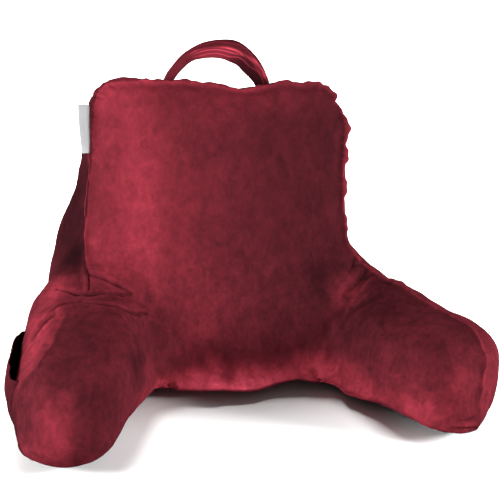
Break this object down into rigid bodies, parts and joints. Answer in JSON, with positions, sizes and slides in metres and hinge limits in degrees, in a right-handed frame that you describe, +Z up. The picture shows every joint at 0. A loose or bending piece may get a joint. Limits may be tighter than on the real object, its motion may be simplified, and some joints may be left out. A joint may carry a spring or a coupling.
{
  "type": "reading pillow with arms",
  "caption": "Velvet reading pillow: a filled wedge backrest with two splayed bolster arms, a strap handle on top, a side pocket on one arm and a blank side tab.",
  "frame": {"origin": "on the floor under the middle of the backrest", "axes": "+Z up; the front, where a reader sits, faces -Y; +X is the right side as seen from the front"},
  "size_m": [0.7959, 0.589, 0.5249],
  "materials": {
    "velvet": "brushed velvet pile, dark red",
    "woven_tab": "plain woven tape, pale grey"
  },
  "bodies": {
    "root": {"pillow_body": "velvet", "handle": "velvet", "arm_pocket": "velvet", "label_tab": "woven_tab"}
  },
  "joints": []
}
